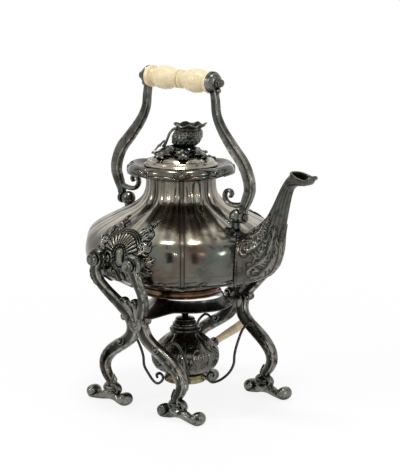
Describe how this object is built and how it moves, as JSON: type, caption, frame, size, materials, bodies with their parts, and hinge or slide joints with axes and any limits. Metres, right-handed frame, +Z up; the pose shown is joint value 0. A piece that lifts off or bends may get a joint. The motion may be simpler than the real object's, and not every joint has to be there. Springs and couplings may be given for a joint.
{
  "type": "spirit kettle on stand",
  "caption": "Lobed swing-handled kettle with hinged lid and swan-neck spout, tilting on a four-legged scroll stand over a small spirit burner.",
  "frame": {"origin": "on the table, below the middle of the box round the whole object; the kettle axis is 42 mm behind it", "axes": "+X toward the spout, +Y toward the back frame, +Z up"},
  "size_m": [0.3026, 0.2528, 0.3734],
  "materials": {
    "old_silver": "polished silver plate with brown tarnish",
    "dark_silver": "cast and chased silver plate, dark in the hollows",
    "warm_silver": "polished plate worn through to warm metal",
    "ivory_resin": "cream ivory-coloured, satin, turned",
    "wick_cotton": "plaited cotton"
  },
  "bodies": {
    "stand": {"near_frame": "dark_silver", "far_frame": "dark_silver", "near_front_foot": "dark_silver", "near_rear_foot": "dark_silver", "far_front_foot": "dark_silver", "far_rear_foot": "dark_silver", "apron_ring": "old_silver", "apron_screws": "old_silver", "near_front_bracket": "dark_silver", "near_rear_bracket": "dark_silver", "far_front_bracket": "dark_silver", "far_rear_bracket": "dark_silver"},
    "near_pin": {"near_pivot_pin": "dark_silver"},
    "far_pin": {"far_pivot_pin": "dark_silver"},
    "lamp": {"lamp_body": "old_silver", "lamp_foot": "warm_silver", "lamp_collar": "dark_silver", "wick_holder": "old_silver", "wick": "wick_cotton", "lamp_socket": "dark_silver", "lamp_handle": "ivory_resin"},
    "snuffer": {"snuffer_cap": "dark_silver"},
    "kettle": {"kettle_body": "old_silver", "kettle_foot": "warm_silver", "mouth_rim": "old_silver", "strainer": "old_silver", "spout": "dark_silver", "trunnions": "dark_silver", "rest_studs": "dark_silver", "handle_lugs": "dark_silver", "lug_pins": "old_silver", "lid_hinge_pin": "old_silver"},
    "lid": {"lid": "old_silver", "finial_leaves": "dark_silver", "finial_bud": "old_silver", "finial_nut": "old_silver"},
    "bail": {"front_arm": "dark_silver", "rear_arm": "dark_silver", "grip": "ivory_resin", "tie_rod": "dark_silver", "end_nuts": "old_silver"}
  },
  "joints": [
    {"name": "kettle_tilt", "type": "hinge", "parent": "stand", "child": "kettle", "pos_m": [-0.003, 0, 0.174], "axis": [0, 1, 0], "range_deg": [0, 30]},
    {"name": "lid_hinge", "type": "hinge", "parent": "kettle", "child": "lid", "pos_m": [-0.042, 0.0435, 0.2683], "axis": [-1, 0, 0], "range_deg": [0, 100]},
    {"name": "handle_swing", "type": "hinge", "parent": "kettle", "child": "bail", "pos_m": [-0.042, 0, 0.2176], "axis": [1, 0, 0], "range_deg": [-90, 90]},
    {"name": "near_pin_pull", "type": "slide", "parent": "stand", "child": "near_pin", "axis": [0, -1, 0], "range_m": [0, 0.02]},
    {"name": "far_pin_pull", "type": "slide", "parent": "stand", "child": "far_pin", "axis": [0, 1, 0], "range_m": [0, 0.02]},
    {"name": "lamp_lift", "type": "slide", "parent": "stand", "child": "lamp", "axis": [0, 0, 1], "range_m": [0, 0.006]},
    {"name": "snuffer_lift", "type": "slide", "parent": "lamp", "child": "snuffer", "axis": [0, 0, 1], "range_m": [0, 0.015]}
  ]
}
